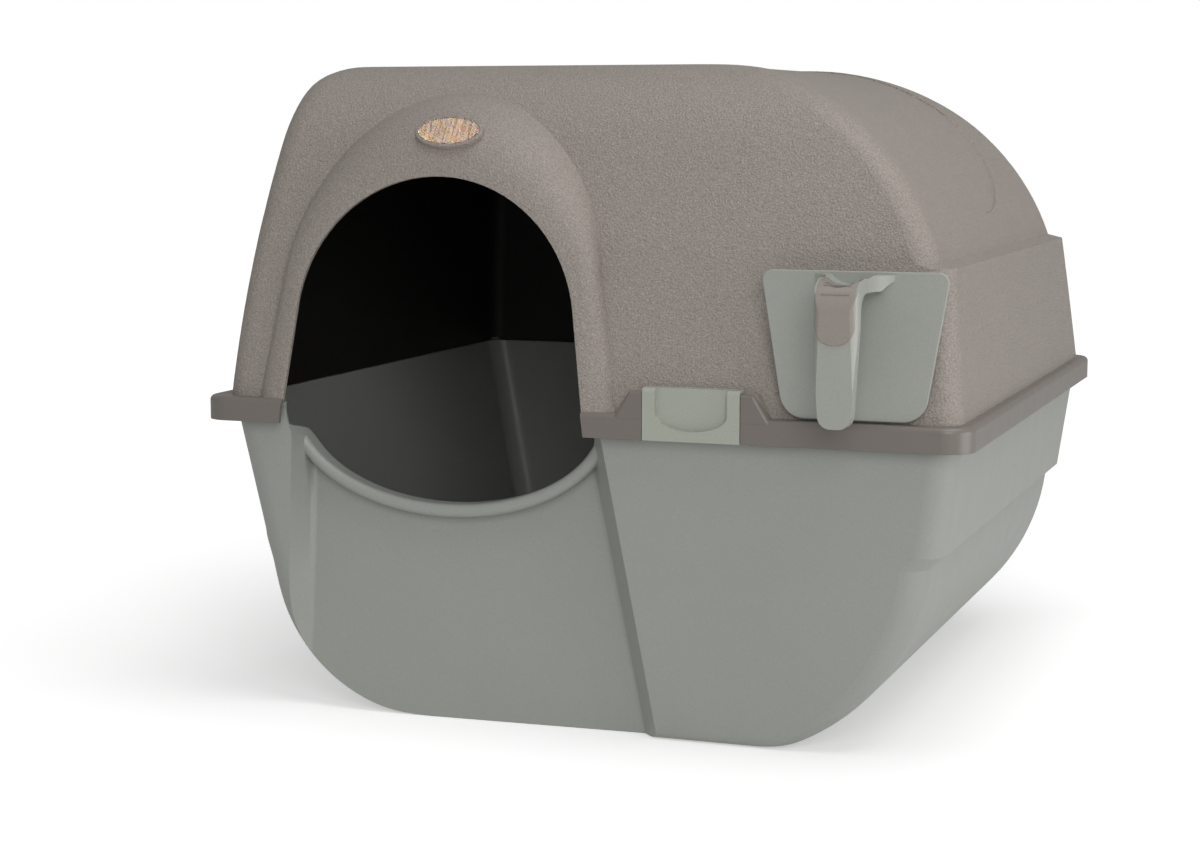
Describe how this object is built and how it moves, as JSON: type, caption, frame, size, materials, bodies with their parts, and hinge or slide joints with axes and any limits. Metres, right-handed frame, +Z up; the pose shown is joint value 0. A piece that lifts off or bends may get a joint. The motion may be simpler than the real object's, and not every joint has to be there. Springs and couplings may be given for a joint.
{
  "type": "self-cleaning litter box",
  "caption": "Covered cat litter box that sifts itself when rolled over: pan, clipped-on hood with arched entrance, inner grille and slide-out waste tray with hooked handle.",
  "frame": {"origin": "on the floor, at the middle of the rim's width and depth", "axes": "+X to the right along the front, +Y from the entrance to the back, +Z up"},
  "size_m": [0.584, 0.5973, 0.487],
  "materials": {
    "taupe_textured": "moulded taupe polypropylene with a fine leather grain",
    "grey_green_satin": "smooth satin grey-green polypropylene",
    "grey_green_gloss": "smooth glossy grey-green polypropylene",
    "pale_green_matte": "slightly translucent pale grey-green polypropylene",
    "taupe_satin": "satin taupe inlay",
    "dark_plastic": "moulded dark grey",
    "foil": "plain iridescent foil with no print",
    "clear_dome": "clear domed resin",
    "screw_steel": "zinc plated"
  },
  "bodies": {
    "pan": {"base_pan": "grey_green_satin"},
    "hood": {"hood_shell": "taupe_textured", "separator_grille": "dark_plastic", "tray_channel": "dark_plastic", "badge_foil": "foil", "badge_dome": "clear_dome", "channel_screws": "screw_steel", "grille_screws": "screw_steel"},
    "tray": {"waste_tray": "pale_green_matte", "thumb_pad": "taupe_satin"},
    "clip_front": {"front_clip": "grey_green_gloss"},
    "clip_rear": {"rear_clip": "grey_green_gloss"},
    "clip_left_front": {"left_front_clip": "grey_green_gloss"},
    "clip_left_rear": {"left_rear_clip": "grey_green_gloss"}
  },
  "joints": [
    {"name": "hood_lift", "type": "slide", "parent": "pan", "child": "hood", "axis": [0, 0, 1], "range_m": [0, 0.25]},
    {"name": "tray_slide", "type": "slide", "parent": "hood", "child": "tray", "axis": [0, -1, 0], "range_m": [0, 0.5]},
    {"name": "front_clip_hinge", "type": "hinge", "parent": "pan", "child": "clip_front", "pos_m": [0.095, -0.267, 0.2267], "axis": [1, 0, 0], "range_deg": [0, 80]},
    {"name": "rear_clip_hinge", "type": "hinge", "parent": "pan", "child": "clip_rear", "pos_m": [0.095, 0.267, 0.2267], "axis": [-1, 0, 0], "range_deg": [0, 80]},
    {"name": "left_front_clip_hinge", "type": "hinge", "parent": "pan", "child": "clip_left_front", "pos_m": [-0.285, -0.15, 0.2267], "axis": [0, -1, 0], "range_deg": [0, 80]},
    {"name": "left_rear_clip_hinge", "type": "hinge", "parent": "pan", "child": "clip_left_rear", "pos_m": [-0.285, 0.15, 0.2267], "axis": [0, -1, 0], "range_deg": [0, 80]}
  ]
}
